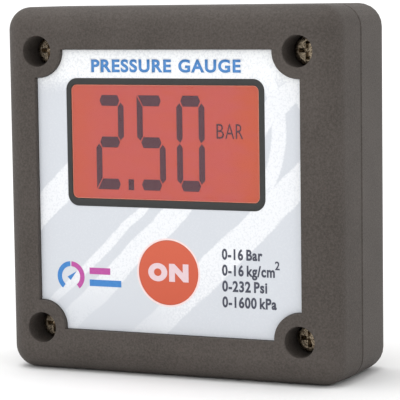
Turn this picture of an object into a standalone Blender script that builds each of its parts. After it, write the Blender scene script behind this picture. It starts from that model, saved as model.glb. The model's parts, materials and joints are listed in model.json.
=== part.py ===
"""Square digital pressure gauge: a two-part case with four front screws, a lit display and a push button.

Lengths are named in millimetres and become metres when a mesh is made. X runs to the right, Y to the back
and Z up. The origin is on the surface that the gauge stands on, half-way across the case and its depth.
"""
import math

import bmesh
import bpy

MM = 0.001
GAP = 0.3  # clearance between neighbouring pieces

# Case
CASE_SIZE = 70.0
CASE_DEPTH = 26.0
CASE_CORNER = 4.45
WALL = 2.4
FRONT_FILLET = 4.6
REAR_FILLET = 3.8
SIDE_DRAFT = 1.1  # each side leans in by this much from the parting to the front face
FRONT_Y = -CASE_DEPTH / 2
PARTING_Y = FRONT_Y + 10.9
PARTING_GAP = 0.3
PARTING_CHAMFER = 0.25
ACROSS_PARTING = 1.5  # how far a cutter of one half runs past the rim
REAR_Y = CASE_DEPTH / 2
MID_Z = CASE_SIZE / 2
FRONT_PLATE_BACK = FRONT_Y + 3.4
REAR_PLATE_FRONT = REAR_Y - 2.6
SEAL_FRONT = PARTING_Y - 1.1
SEAL_BACK = PARTING_Y + 0.8
SEAL_OUTER = 33.6  # half its width
SEAL_INNER = 32.7

# Case screws
SCREW_OFFSET = 26.6  # from the middle of the case, both ways
SCREW_COLUMN = 4.4
SCREW_HEAD = 2.7
SCREW_HEAD_Y = FRONT_Y + 5.5
SCREW_SEAT_Y = FRONT_Y + 7.6
SCREW_SHANK = 1.4
SCREW_TIP_Y = 8.3
COUNTERBORE = 2.92

# Front label
LABEL_POCKET = 27.05  # half its width
LABEL_LOBE = 5.0  # quarter-round bosses that the screws sink into
LABEL_Y = FRONT_Y + 1.0
LABEL_THICK = 0.4

# Display
DISPLAY_X = -0.5
DISPLAY_Z = MID_Z + 9.35
BEZEL_WIDTH = 40.6
BEZEL_HEIGHT = 24.3
BEZEL_BORDER = 1.0
BEZEL_CORNER = 2.0
BEZEL_BACK = -8.6
GLASS_FRONT = -11.2
GLASS_BACK = -8.8

# Push button
BUTTON_Z = 20.05
BUTTON_RADIUS = 6.2
BUTTON_FRONT = LABEL_Y - 0.2
BUTTON_FLANGE = 1.2
FLANGE_THICK = 0.7
STEM_RADIUS = 1.5
STEM_END = -8.2
SWITCH_TOP = -7.1
SWITCH_SIZE = 6.0

# Circuit board
BOARD_FRONT = -4.3
BOARD_BACK = -2.7
BOARD_HALF = 31.6
BOARD_SCREW_X = 28.3
BOARD_SCREW_Z = MID_Z - 3.0
ON_BOARD_FRONT = BOARD_FRONT - GAP
ON_BOARD_BACK = BOARD_BACK + GAP

# Battery bay, open to the back
BAY_HALF_X = 25.2
BAY_LOW_Z = MID_Z + 0.1
BAY_HIGH_Z = MID_Z + 22.0
BAY_MID_Z = (BAY_LOW_Z + BAY_HIGH_Z) / 2
BAY_FLOOR = 0.65
BAY_WALL = 1.2
CELL_RADIUS = 5.25
CELL_LENGTH = 44.5
CELL_Y = 6.2
CELL_SPACING = 10.8
DOOR_WIDTH = 55.0
DOOR_HEIGHT = 24.5
DOOR_FRONT = REAR_Y - 1.3
RIDGE_COUNT = 5
RIDGE_STEP = 1.6
RIDGE_LOW = -9.6  # the lowest ridge, from the middle of the door
CONTACT_X = 24.6
CONTACT_THICK = 0.3
CONTACT_HALF = 4.0  # half a contact's height

# Vent and blank plate, below the battery door
VENT_CENTRE = (21.0, 20.0)
VENT_RADIUS = 3.0
PLATE_CENTRE = (-21.0, 20.0)
PLATE_WIDTH = 17.0
PLATE_HEIGHT = 13.0

# Pressure port
PORT_Z = 20.0
PORT_STEM = 4.9
PORT_HEX = 17.0  # across its flats
HEX_FRONT = REAR_Y + 1.4
HEX_BACK = HEX_FRONT + 6.0
THREAD_START = HEX_BACK + 2.1
THREAD_RADIUS = 4.86
THREAD_DEPTH = 0.58
THREAD_PITCH = 0.907
THREAD_TURNS = 9
PORT_INNER_END = 4.0
PORT_BORE = 1.5

CORNER_STEPS = 6
ROUND_STEPS = 32


def clear_scene():
    for item in list(bpy.data.objects):
        bpy.data.objects.remove(item)


def material(name, colour, roughness, metallic=0.0, alpha=1.0):
    made = bpy.data.materials.new(name)
    made.use_nodes = True
    shader = made.node_tree.nodes["Principled BSDF"]
    shader.inputs["Base Color"].default_value = (*colour, 1.0)
    shader.inputs["Roughness"].default_value = roughness
    shader.inputs["Metallic"].default_value = metallic
    shader.inputs["Alpha"].default_value = alpha
    return made


# ---------------------------------------------------------------- outlines, as lists of (across, up)


def arc(centre, radius, start, sweep, steps):
    """Points on an arc, both ends included; angles in degrees."""
    points = []
    for i in range(steps + 1):
        angle = math.radians(start + sweep * i / steps)
        points.append((centre[0] + radius * math.cos(angle), centre[1] + radius * math.sin(angle)))
    return points


def circle(radius, centre=(0.0, 0.0), steps=ROUND_STEPS, turn=0.0):
    return arc(centre, radius, turn, 360.0 * (steps - 1) / steps, steps - 1)


def hexagon(across_flats, centre):
    return circle(across_flats / math.sqrt(3), centre, 6, 30.0)


def rounded_rect(width, height, radius, centre=(0.0, 0.0), steps=CORNER_STEPS):
    points = []
    for start, side_x, side_z in ((0, 1, 1), (90, -1, 1), (180, -1, -1), (270, 1, -1)):
        corner = (
            centre[0] + side_x * (width / 2 - radius),
            centre[1] + side_z * (height / 2 - radius),
        )
        points += arc(corner, radius, start, 90, steps)
    return points


def rectangle(width, height, centre=(0.0, 0.0)):
    x, z = width / 2, height / 2
    return [(centre[0] + sx * x, centre[1] + sz * z) for sx, sz in ((1, 1), (-1, 1), (-1, -1), (1, -1))]


def notched_square(half, notch, steps=CORNER_STEPS):
    """A square whose corners leave room for a round column of radius notch about each case screw."""
    points = []
    for turn in range(4):
        angle = math.radians(90 * turn)
        corner = [(half, SCREW_OFFSET - notch)]
        corner += arc((SCREW_OFFSET, SCREW_OFFSET), notch, 270, -90, steps)
        corner += [(SCREW_OFFSET - notch, half)]
        for x, z in corner:
            turned_x = x * math.cos(angle) - z * math.sin(angle)
            turned_z = x * math.sin(angle) + z * math.cos(angle)
            points.append((turned_x, MID_Z + turned_z))
    return points


def screw_centres():
    return [(sx * SCREW_OFFSET, MID_Z + sz * SCREW_OFFSET) for sz in (1, -1) for sx in (-1, 1)]


# ---------------------------------------------------------------- solids


def place(point, depth, axis):
    if axis == "X":
        return (depth, point[0], point[1])
    if axis == "Y":
        return (point[0], depth, point[1])
    return (point[0], point[1], depth)


def skin(name, sections, look=None, ring=False, axis="Y", origin=(0.0, 0.0, 0.0)):
    """A closed solid through outlines of equal point count, each at its own depth along the axis.

    A ring joins its last section to its first; any other solid gets a flat cap at both ends.
    """
    mesh = bpy.data.meshes.new(name)
    bm = bmesh.new()
    loops = []
    for outline, depth in sections:
        points = [place(point, depth, axis) for point in outline]
        loops.append([bm.verts.new([(p - o) * MM for p, o in zip(point, origin)]) for point in points])
    pairs = list(zip(loops, loops[1:]))
    if ring:
        pairs.append((loops[-1], loops[0]))
    else:
        bm.faces.new(loops[0])
        bm.faces.new(loops[-1])
    for one, other in pairs:
        count = len(one)
        for i in range(count):
            j = (i + 1) % count
            bm.faces.new((one[i], one[j], other[j], other[i]))
    bmesh.ops.recalc_face_normals(bm, faces=bm.faces)
    bm.to_mesh(mesh)
    bm.free()
    mesh.shade_smooth()
    mesh.set_sharp_from_angle(angle=math.radians(35))
    made = bpy.data.objects.new(name, mesh)
    made.location = [value * MM for value in origin]
    bpy.context.collection.objects.link(made)
    if look:
        mesh.materials.append(look)
    return made


def plate(name, outline, low, high, look=None, axis="Y", origin=(0.0, 0.0, 0.0)):
    return skin(name, [(outline, low), (outline, high)], look, axis=axis, origin=origin)


def frame_ring(name, outer, inner, low, high, look=None):
    return skin(name, [(outer, low), (outer, high), (inner, high), (inner, low)], look, ring=True)


def turned(name, profile, centre, look=None, axis="Y", steps=ROUND_STEPS, origin=(0.0, 0.0, 0.0)):
    """A round solid; the profile is a list of (radius, depth)."""
    sections = [(circle(radius, centre, steps), depth) for radius, depth in profile]
    return skin(name, sections, look, axis=axis, origin=origin)


def combine(target, operation, others):
    for other in others:
        other.hide_render = True
        other.display_type = "WIRE"
        step = target.modifiers.new(f"{operation.lower()} {other.name}", "BOOLEAN")
        step.operation = operation
        step.solver = "EXACT"
        step.object = other
    return target


def cut(target, *others):
    return combine(target, "DIFFERENCE", others)


def join(target, *others):
    return combine(target, "UNION", others)


def case_outline(inset, lean=0.0):
    size = CASE_SIZE - 2 * inset
    return rounded_rect(size - 2 * lean, size, max(CASE_CORNER - inset, 0.2), (0.0, MID_Z))


def fillet_sections(face_y, inward, radius, draft=0.0, steps=6):
    """Sections of the case from its flat face round the edge to its side; inward is +1 or -1 along Y."""
    sections = []
    for i in range(steps + 1):
        angle = math.radians(90 * i / steps)
        inset = radius * (1 - math.sin(angle))
        depth = radius * (1 - math.cos(angle))
        lean = draft * (1 - depth / abs(PARTING_Y - face_y))
        sections.append((case_outline(inset, lean), face_y + inward * depth))
    return sections


# ---------------------------------------------------------------- case


def front_housing(look):
    edge = PARTING_Y - PARTING_GAP / 2
    sections = fillet_sections(FRONT_Y, 1, FRONT_FILLET, SIDE_DRAFT)
    sections += [
        (case_outline(0.0), edge - PARTING_CHAMFER),
        (case_outline(PARTING_CHAMFER), edge),
    ]
    housing = skin("front_housing", sections, look)
    beyond = FRONT_Y - 1.0
    past_rim = PARTING_Y + ACROSS_PARTING
    cut(
        housing,
        plate("front_cavity", notched_square(CASE_SIZE / 2 - WALL, SCREW_COLUMN), FRONT_PLATE_BACK, past_rim),
        plate("label_pocket", notched_square(LABEL_POCKET, LABEL_LOBE), beyond, LABEL_Y + LABEL_THICK + GAP),
        plate("display_opening", bezel_outline(GAP), beyond, FRONT_PLATE_BACK + 1.0),
        turned(
            "button_hole",
            [(BUTTON_RADIUS + GAP, beyond), (BUTTON_RADIUS + GAP, FRONT_PLATE_BACK + 1.0)],
            (0.0, BUTTON_Z),
        ),
        gasket_ring("front_rebate", SEAL_FRONT - GAP, past_rim, GAP),
    )
    for number, centre in enumerate(screw_centres(), 1):
        steps = [
            (COUNTERBORE, beyond),
            (COUNTERBORE, SCREW_SEAT_Y),
            (SCREW_SHANK + GAP, SCREW_SEAT_Y),
            (SCREW_SHANK + GAP, past_rim),
        ]
        cut(housing, turned(f"counterbore_{number}", steps, centre))
    for side, name in ((-1, "left"), (1, "right")):
        centre = (side * BOARD_SCREW_X, BOARD_SCREW_Z)
        post = [(2.6, FRONT_PLATE_BACK - 0.6), (2.6, ON_BOARD_FRONT)]
        pilot = [(1.1, FRONT_PLATE_BACK + 0.4), (1.1, 0.0)]
        join(housing, turned(f"board_post_{name}", post, centre))
        cut(housing, turned(f"board_pilot_{name}", pilot, centre, steps=16))
    return housing


def gasket_ring(name, low, high, room, look=None):
    """The seal's ring round the rim, or with some room the rebate that it lies in."""
    outer = SEAL_OUTER + room
    inner = SEAL_INNER - room
    return frame_ring(
        name,
        rounded_rect(2 * outer, 2 * outer, 3.4 + room, (0.0, MID_Z)),
        rounded_rect(2 * inner, 2 * inner, 2.5, (0.0, MID_Z)),
        low,
        high,
        look,
    )


def rear_cover(look):
    edge = PARTING_Y + PARTING_GAP / 2
    sections = fillet_sections(REAR_Y, -1, REAR_FILLET)
    sections += [
        (case_outline(0.0), edge + PARTING_CHAMFER),
        (case_outline(PARTING_CHAMFER), edge),
    ]
    cover = skin("rear_cover", sections, look)
    beyond = REAR_Y + 1.0
    past_rim = PARTING_Y - ACROSS_PARTING
    inside = notched_square(CASE_SIZE / 2 - WALL, SCREW_COLUMN)
    cut(cover, plate("rear_cavity", inside, past_rim, REAR_PLATE_FRONT))
    tray_height = BAY_HIGH_Z - BAY_LOW_Z + 2 * BAY_WALL
    tray = rectangle(2 * (BAY_HALF_X + BAY_WALL), tray_height, (0.0, BAY_MID_Z))
    join(cover, plate("bay_tray", tray, BAY_FLOOR - 1.0, REAR_PLATE_FRONT + 0.8))
    bay = rectangle(2 * BAY_HALF_X, BAY_HIGH_Z - BAY_LOW_Z, (0.0, BAY_MID_Z))
    scoop_centre = (0.0, BAY_MID_Z - DOOR_HEIGHT / 2 - GAP)
    cut(
        cover,
        plate("bay_space", bay, BAY_FLOOR, beyond),
        plate("door_recess", door_outline(GAP), DOOR_FRONT - GAP, beyond),
        turned("finger_scoop", [(3.4, REAR_Y - 0.8), (5.2, beyond)], scoop_centre),
        turned("port_hole", [(PORT_STEM + GAP, 8.0), (PORT_STEM + GAP, beyond)], (0.0, PORT_Z)),
        turned("vent_pocket", [(VENT_RADIUS + GAP, REAR_Y - 1.1), (VENT_RADIUS + GAP, beyond)], VENT_CENTRE),
        turned("vent_hole", [(0.8, 8.0), (0.8, beyond)], VENT_CENTRE, steps=12),
        plate("plate_pocket", rear_plate_outline(GAP), REAR_Y - 0.7, beyond),
        gasket_ring("rear_rebate", past_rim, SEAL_BACK + GAP, GAP),
    )
    for side, name in ((-1, "lower"), (1, "upper")):
        slot_centre = (CONTACT_X + CONTACT_THICK / 2, BAY_MID_Z + side * CELL_SPACING / 2)
        slot = rectangle(1.1, 3.0, slot_centre)
        cut(cover, plate(f"tail_slot_{name}", slot, past_rim, BAY_FLOOR + 1.0))
    for number, centre in enumerate(screw_centres(), 1):
        pilot = [(SCREW_SHANK + GAP, past_rim), (SCREW_SHANK + GAP, SCREW_TIP_Y + 0.5)]
        cut(cover, turned(f"screw_pilot_{number}", pilot, centre, steps=24))
    return cover


def rear_plate_outline(room):
    return rounded_rect(PLATE_WIDTH + 2 * room, PLATE_HEIGHT + 2 * room, 1.0 + room, PLATE_CENTRE)


def case_screws(look):
    """Four cheese-head screws with cross recesses; the first is cut and the others share its mesh."""
    first = screw_centres()[0]
    origin = (first[0], SCREW_HEAD_Y, first[1])
    profile = [
        (SCREW_HEAD - 0.45, SCREW_HEAD_Y),
        (SCREW_HEAD - 0.12, SCREW_HEAD_Y + 0.18),
        (SCREW_HEAD, SCREW_HEAD_Y + 0.5),
        (SCREW_HEAD, SCREW_SEAT_Y - GAP),
        (SCREW_SHANK, SCREW_SEAT_Y - GAP),
        (SCREW_SHANK, SCREW_TIP_Y - 0.9),
        (0.5, SCREW_TIP_Y),
    ]
    model = turned("case_screw_1", profile, first, look, steps=24, origin=origin)
    recess = plate("cross_upright", rectangle(0.8, 3.2, first), SCREW_HEAD_Y - 0.5, SCREW_HEAD_Y + 1.1)
    across = plate("cross_level", rectangle(3.2, 0.8, first), SCREW_HEAD_Y - 0.5, SCREW_HEAD_Y + 1.1)
    cut(model, join(recess, across))
    for number, centre in enumerate(screw_centres()[1:], 2):
        twin = bpy.data.objects.new(f"case_screw_{number}", frozen_mesh(model))
        twin.location = (centre[0] * MM, SCREW_HEAD_Y * MM, centre[1] * MM)
        bpy.context.collection.objects.link(twin)
    return model


def frozen_mesh(source):
    """The source's mesh with its modifiers applied, made once and shared after that."""
    name = source.name + "_mesh"
    if name not in bpy.data.meshes:
        graph = bpy.context.evaluated_depsgraph_get()
        made = bpy.data.meshes.new_from_object(source.evaluated_get(graph))
        made.name = name
    return bpy.data.meshes[name]


# ---------------------------------------------------------------- front: label, display and button


def bezel_outline(room):
    return rounded_rect(
        BEZEL_WIDTH + 2 * room,
        BEZEL_HEIGHT + 2 * room,
        BEZEL_CORNER + room,
        (DISPLAY_X, DISPLAY_Z),
    )


def label_overlay(look):
    back = LABEL_Y + LABEL_THICK
    outline = notched_square(LABEL_POCKET - 0.25, LABEL_LOBE + 0.25)
    label = plate("label_overlay", outline, LABEL_Y, back, look)
    hole = [(BUTTON_RADIUS + 0.2, LABEL_Y - 1.0), (BUTTON_RADIUS + 0.2, back + 1.0)]
    return cut(
        label,
        plate("label_window", bezel_outline(0.2), LABEL_Y - 1.0, back + 1.0),
        turned("label_button_hole", hole, (0.0, BUTTON_Z)),
    )


def display_stack(dark, clear, glass):
    bezel_inner = bezel_outline(-BEZEL_BORDER)
    frame_ring("display_bezel", bezel_outline(0.0), bezel_inner, LABEL_Y - 0.1, BEZEL_BACK, dark)
    inside = bezel_outline(-BEZEL_BORDER - GAP)
    plate("display_window", inside, LABEL_Y, LABEL_Y + 0.5, clear)
    plate("lcd_glass", inside, GLASS_FRONT, GLASS_BACK, glass)


def backlight(guide_look, lamp_look, strip_look, holder_look):
    centre = (DISPLAY_X, DISPLAY_Z)
    plate("light_guide", rounded_rect(36.8, 16.0, 0.6, centre, 2), -8.4, -5.4, guide_look)
    for side, name in ((-1, "left"), (1, "right")):
        lamp = rectangle(1.6, 3.0, (DISPLAY_X + side * 19.6, DISPLAY_Z))
        plate(f"backlight_lamp_{name}", lamp, -7.4, ON_BOARD_FRONT, lamp_look)
    for side, name in ((-1, "lower"), (1, "upper")):
        strip = rectangle(34.0, 1.8, (DISPLAY_X, DISPLAY_Z + side * 9.4))
        plate(f"zebra_strip_{name}", strip, GLASS_BACK + GAP, ON_BOARD_FRONT, strip_look)
    frame_ring(
        "lcd_holder",
        rounded_rect(46.0, 30.0, 1.5, centre),
        rounded_rect(42.8, 26.8, 0.8, centre),
        FRONT_PLATE_BACK + GAP,
        ON_BOARD_FRONT,
        holder_look,
    )


def on_button(look):
    """The button's cap passes through the label; its flange keeps it in and its stem meets the switch."""
    flange_front = FRONT_PLATE_BACK + GAP
    profile = [
        (BUTTON_RADIUS - 0.25, BUTTON_FRONT),
        (BUTTON_RADIUS, BUTTON_FRONT + 0.15),
        (BUTTON_RADIUS, flange_front),
        (BUTTON_RADIUS + BUTTON_FLANGE, flange_front),
        (BUTTON_RADIUS + BUTTON_FLANGE, flange_front + FLANGE_THICK),
        (STEM_RADIUS, flange_front + FLANGE_THICK),
        (STEM_RADIUS, STEM_END),
    ]
    origin = (0.0, BUTTON_FRONT, BUTTON_Z)
    return turned("on_button", profile, (0.0, BUTTON_Z), look, steps=40, origin=origin)


def push_switch(body_look, plunger_look):
    centre = (0.0, BUTTON_Z)
    outline = rounded_rect(SWITCH_SIZE, SWITCH_SIZE, 0.5, centre, 2)
    body = plate("switch_body", outline, SWITCH_TOP, ON_BOARD_FRONT, body_look)
    cut(body, turned("switch_well", [(2.0, SWITCH_TOP - 1.0), (2.0, SWITCH_TOP + 1.6)], centre, steps=24))
    tip = STEM_END + GAP
    profile = [(STEM_RADIUS, tip), (STEM_RADIUS + 0.2, tip + 0.15), (STEM_RADIUS + 0.2, SWITCH_TOP + 0.9)]
    origin = (0.0, tip, BUTTON_Z)
    turned("switch_plunger", profile, centre, plunger_look, steps=24, origin=origin)
    return body


# ---------------------------------------------------------------- circuit board


def main_board(look):
    board = plate("main_board", notched_square(BOARD_HALF, SCREW_COLUMN + 0.7), BOARD_FRONT, BOARD_BACK, look)
    for side, name in ((-1, "left"), (1, "right")):
        hole = [(1.2, BOARD_FRONT - 1.0), (1.2, BOARD_BACK + 1.0)]
        cut(board, turned(f"board_hole_{name}", hole, (side * BOARD_SCREW_X, BOARD_SCREW_Z), steps=16))
    return board


def board_screws(look):
    for side, name in ((-1, "left"), (1, "right")):
        centre = (side * BOARD_SCREW_X, BOARD_SCREW_Z)
        profile = [
            (0.3, FRONT_PLATE_BACK + 0.9),
            (0.8, FRONT_PLATE_BACK + 1.6),
            (0.8, ON_BOARD_BACK),
            (1.9, ON_BOARD_BACK),
            (1.9, ON_BOARD_BACK + 0.9),
            (1.2, ON_BOARD_BACK + 1.3),
        ]
        turned(f"board_screw_{name}", profile, centre, look, steps=20)


def board_parts(chip_look, can_look, capacitor_look, header_look):
    def on_back(name, width, height, thick, centre, look, corner=0.4):
        outline = rounded_rect(width, height, corner, centre, 2)
        plate(name, outline, ON_BOARD_BACK, ON_BOARD_BACK + thick, look)

    on_back("micro_chip", 10.0, 10.0, 1.4, (-6.0, MID_Z + 13.0), chip_look)
    on_back("memory_chip", 4.0, 5.0, 1.2, (6.5, MID_Z + 13.0), chip_look)
    on_back("amplifier_chip", 5.0, 4.0, 1.2, (-11.0, PORT_Z), chip_look)
    on_back("crystal", 4.6, 11.0, 1.7, (14.0, MID_Z + 12.0), can_look, 2.2)
    on_back("capacitor_upper", 3.6, 6.0, 1.6, (-18.0, MID_Z + 10.0), capacitor_look)
    on_back("capacitor_lower", 3.6, 6.0, 1.6, (15.0, 22.0), capacitor_look)
    on_back("sensor_header", 7.6, 2.4, 2.2, (0.0, PORT_Z), header_look, 0.3)


# ---------------------------------------------------------------- pressure port


def port_body(look):
    centre = (0.0, PORT_Z)
    sections = [(circle(PORT_STEM - 0.4, centre), PORT_INNER_END)]
    stem = circle(PORT_STEM, centre)
    sections += [(stem, PORT_INNER_END + 0.4), (stem, HEX_FRONT + 0.5)]
    body = skin("pressure_port", sections, look)
    hexagonal = plate("port_hexagon", hexagon(PORT_HEX, centre), HEX_FRONT, HEX_BACK)
    rounding = [
        (PORT_HEX / 2 - 0.7, HEX_FRONT - 0.2),
        (PORT_HEX / 2 + 1.6, HEX_FRONT + 1.0),
        (PORT_HEX / 2 + 1.6, HEX_BACK - 1.0),
        (PORT_HEX / 2 - 0.7, HEX_BACK + 0.2),
    ]
    combine(hexagonal, "INTERSECT", [turned("hexagon_rounding", rounding, centre, steps=48)])
    thread = turned("port_thread", thread_profile(), centre, steps=28)
    end = THREAD_START + (THREAD_TURNS + 1) * THREAD_PITCH
    profile = [(PORT_BORE, 0.0), (PORT_BORE, end), (PORT_BORE + 1.5, end + 1.5)]
    bore = turned("port_bore", profile, centre, steps=24)
    join(body, hexagonal, thread)
    return cut(body, bore)


def thread_profile():
    """A neck behind the hexagon, then the parallel pipe thread as rings, with a chamfered end."""
    root = THREAD_RADIUS - THREAD_DEPTH
    profile = [(root - 0.1, HEX_BACK - 0.6), (root - 0.1, THREAD_START)]
    for turn in range(THREAD_TURNS):
        start = THREAD_START + turn * THREAD_PITCH
        profile += [(THREAD_RADIUS, start + 0.4 * THREAD_PITCH), (root, start + 0.9 * THREAD_PITCH)]
    profile.append((root - 0.35, THREAD_START + (THREAD_TURNS + 0.5) * THREAD_PITCH))
    return profile


def port_fittings(nut_look, seal_look, sensor_look):
    centre = (0.0, PORT_Z)
    nut_back = REAR_PLATE_FRONT - GAP
    inner = circle(PORT_STEM + GAP, centre, 48)
    nut = plate("port_nut", hexagon(PORT_HEX, centre), nut_back - 2.9, nut_back, nut_look)
    cut(nut, plate("nut_bore", inner, nut_back - 4.0, nut_back + 1.0))
    frame_ring(
        "port_seal",
        circle(7.2, centre),
        circle(PORT_STEM + GAP, centre),
        REAR_Y + GAP,
        HEX_FRONT - GAP,
        seal_look,
    )
    can = [(4.4, 0.3), (4.7, 0.6), (4.7, PORT_INNER_END - GAP)]
    turned("pressure_sensor", can, centre, sensor_look)


# ---------------------------------------------------------------- back: battery bay and its door


def door_outline(room):
    return rounded_rect(DOOR_WIDTH + 2 * room, DOOR_HEIGHT + 2 * room, 2.0 + room, (0.0, BAY_MID_Z))


def battery_door(look):
    origin = (0.0, REAR_Y, BAY_MID_Z)
    sections = [
        (door_outline(0.0), DOOR_FRONT),
        (door_outline(0.0), REAR_Y - 0.25),
        (door_outline(-0.25), REAR_Y),
    ]
    door = skin("battery_door", sections, look, origin=origin)
    for number in range(RIDGE_COUNT):
        ridge = rectangle(10.0, 0.7, (0.0, BAY_MID_Z + RIDGE_LOW + RIDGE_STEP * number))
        join(door, plate(f"door_ridge_{number + 1}", ridge, REAR_Y - 0.6, REAR_Y + 0.35))
    return door


def cell_heights():
    return ((BAY_MID_Z - CELL_SPACING / 2, 1, "lower"), (BAY_MID_Z + CELL_SPACING / 2, -1, "upper"))


def battery_cells(look):
    """Two cells side by side, facing opposite ways; facing is +1 where the button is on the right."""
    for height, facing, name in cell_heights():
        end = CELL_LENGTH / 2
        profile = [
            (CELL_RADIUS - 0.4, -end),
            (CELL_RADIUS, -end + 0.4),
            (CELL_RADIUS, end - 1.6),
            (CELL_RADIUS - 0.6, end - 1.0),
            (1.9, end - 1.0),
            (1.9, end - 0.2),
            (1.6, end),
        ]
        profile = [(radius, facing * depth) for radius, depth in profile]
        turned(f"battery_cell_{name}", profile, (CELL_Y, height), look, axis="X")


def contact_plate(name, side, low, high, tails, look):
    """A sprung plate at one end of the bay; a tail goes down through the bay's floor to the board."""
    near = side * CONTACT_X
    far = side * (CONTACT_X + CONTACT_THICK)
    made = plate(name, rectangle(9.6, high - low, (6.0, (low + high) / 2)), near, far, look, axis="X")
    for number, height in enumerate(tails, 1):
        tail = rectangle(4.2, 2.0, (-0.3, height))
        join(made, plate(f"{name}_tail_{number}", tail, near, far, axis="X"))
    return made


def contact_bump(name, side, height, look):
    """The pad that a cell's button presses on."""
    back = CONTACT_X - GAP
    profile = [(2.2, side * back), (2.2, side * (back - 1.1)), (1.5, side * (back - 1.6))]
    turned(name, profile, (CELL_Y, height), look, axis="X", steps=20)


def contact_spring(name, side, height, look):
    """A conical spring against a cell's flat end."""
    turns = 3.0
    steps = 54
    curve = bpy.data.curves.new(name, "CURVE")
    curve.dimensions = "3D"
    curve.bevel_depth = 0.26 * MM
    curve.bevel_resolution = 1
    curve.use_fill_caps = True
    spline = curve.splines.new("POLY")
    spline.points.add(steps)
    for i, point in enumerate(spline.points):
        along = i / steps
        radius = 3.9 - 1.9 * along
        angle = 2 * math.pi * turns * along
        depth = side * (CONTACT_X - 0.65 - 1.05 * along)
        place_at = (depth, CELL_Y + radius * math.cos(angle), height + radius * math.sin(angle))
        point.co = (*[value * MM for value in place_at], 1.0)
    curve.materials.append(look)
    made = bpy.data.objects.new(name, curve)
    bpy.context.collection.objects.link(made)
    return made


def battery_contacts(look):
    (lower, _, _), (upper, _, _) = cell_heights()
    half = CONTACT_HALF
    contact_plate("contact_bridge", -1, lower - half, upper + half, [], look)
    contact_plate("contact_plate_lower", 1, lower - half, lower + half, [lower], look)
    contact_plate("contact_plate_upper", 1, upper - half, upper + half, [upper], look)
    contact_bump("contact_pad_lower", 1, lower, look)
    contact_bump("contact_pad_upper", -1, upper, look)
    contact_spring("contact_spring_lower", -1, lower, look)
    contact_spring("contact_spring_upper", 1, upper, look)


def rear_trim(vent_look, plate_look):
    vent = [(VENT_RADIUS - 0.1, REAR_Y - 0.8), (VENT_RADIUS, REAR_Y - 0.6), (VENT_RADIUS, REAR_Y - 0.3)]
    turned("vent_membrane", vent, VENT_CENTRE, vent_look)
    plate("rear_plate", rear_plate_outline(0.0), REAR_Y - 0.4, REAR_Y - 0.05, plate_look)


def build():
    clear_scene()
    case = material("case_plastic", (0.095, 0.085, 0.08), 0.55)
    rubber = material("seal_rubber", (0.02, 0.02, 0.02), 0.8)
    zinc = material("yellow_zinc", (0.55, 0.42, 0.2), 0.35, 1.0)
    steel = material("plated_steel", (0.6, 0.6, 0.58), 0.3, 1.0)
    brass = material("port_brass", (0.72, 0.52, 0.24), 0.3, 1.0)
    black = material("black_plastic", (0.03, 0.03, 0.03), 0.5)
    white = material("white_plastic", (0.8, 0.8, 0.78), 0.5)

    front_housing(case)
    rear_cover(case)
    gasket_ring("case_gasket", SEAL_FRONT, SEAL_BACK, 0.0, rubber)
    case_screws(zinc)

    label_overlay(material("label_print", (0.86, 0.88, 0.9), 0.4))
    display_stack(
        material("bezel_grey", (0.055, 0.06, 0.06), 0.45),
        material("clear_window", (0.9, 0.9, 0.9), 0.05, 0.0, 0.3),
        material("lcd_red", (0.65, 0.12, 0.09), 0.2),
    )
    backlight(
        material("guide_acrylic", (0.9, 0.45, 0.35), 0.1),
        material("lamp_amber", (0.9, 0.5, 0.2), 0.3),
        material("zebra_rubber", (0.35, 0.25, 0.3), 0.7),
        white,
    )
    on_button(material("button_orange", (0.64, 0.12, 0.07), 0.4))
    push_switch(black, material("plunger_plastic", (0.25, 0.25, 0.25), 0.5))

    main_board(material("board_green", (0.02, 0.16, 0.07), 0.4))
    board_screws(steel)
    board_parts(
        material("chip_black", (0.02, 0.02, 0.022), 0.45),
        material("crystal_can", (0.7, 0.7, 0.7), 0.25, 1.0),
        material("capacitor_yellow", (0.6, 0.4, 0.08), 0.4),
        black,
    )

    port_body(brass)
    port_fittings(brass, rubber, steel)

    battery_door(case)
    battery_cells(material("cell_sleeve", (0.03, 0.09, 0.2), 0.35))
    battery_contacts(steel)
    rear_trim(material("vent_white", (0.7, 0.7, 0.68), 0.8), material("plate_silver", (0.6, 0.61, 0.62), 0.4))


build()
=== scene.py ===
import json
import math

import bmesh
import bpy
from mathutils import Matrix, Vector


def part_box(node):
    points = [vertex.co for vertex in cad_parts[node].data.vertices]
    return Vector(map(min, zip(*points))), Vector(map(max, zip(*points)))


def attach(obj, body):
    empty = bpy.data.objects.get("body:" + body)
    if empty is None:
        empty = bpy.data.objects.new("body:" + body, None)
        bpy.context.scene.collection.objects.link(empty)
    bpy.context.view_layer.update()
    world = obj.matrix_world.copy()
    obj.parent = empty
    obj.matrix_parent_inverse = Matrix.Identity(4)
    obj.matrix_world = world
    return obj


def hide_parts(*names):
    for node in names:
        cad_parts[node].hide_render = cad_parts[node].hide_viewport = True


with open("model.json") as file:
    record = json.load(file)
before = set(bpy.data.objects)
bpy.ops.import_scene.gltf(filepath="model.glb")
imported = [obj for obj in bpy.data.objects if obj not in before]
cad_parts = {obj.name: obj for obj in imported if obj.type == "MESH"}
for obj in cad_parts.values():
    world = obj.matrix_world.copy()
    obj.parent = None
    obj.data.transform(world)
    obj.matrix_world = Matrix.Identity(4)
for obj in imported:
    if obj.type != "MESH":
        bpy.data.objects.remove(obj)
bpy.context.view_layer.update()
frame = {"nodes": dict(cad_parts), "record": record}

# A square digital pressure gauge: case, screws, printed label, lit display, button and rear port.
# Lengths are in metres; the front faces -Y and +Z is up.
MM = 0.001


def centre_of(box):
    """The middle of a node's box as it is seen from the front, as (x, z)."""
    low, high = box
    return ((low.x + high.x) / 2, (low.z + high.z) / 2)


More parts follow.
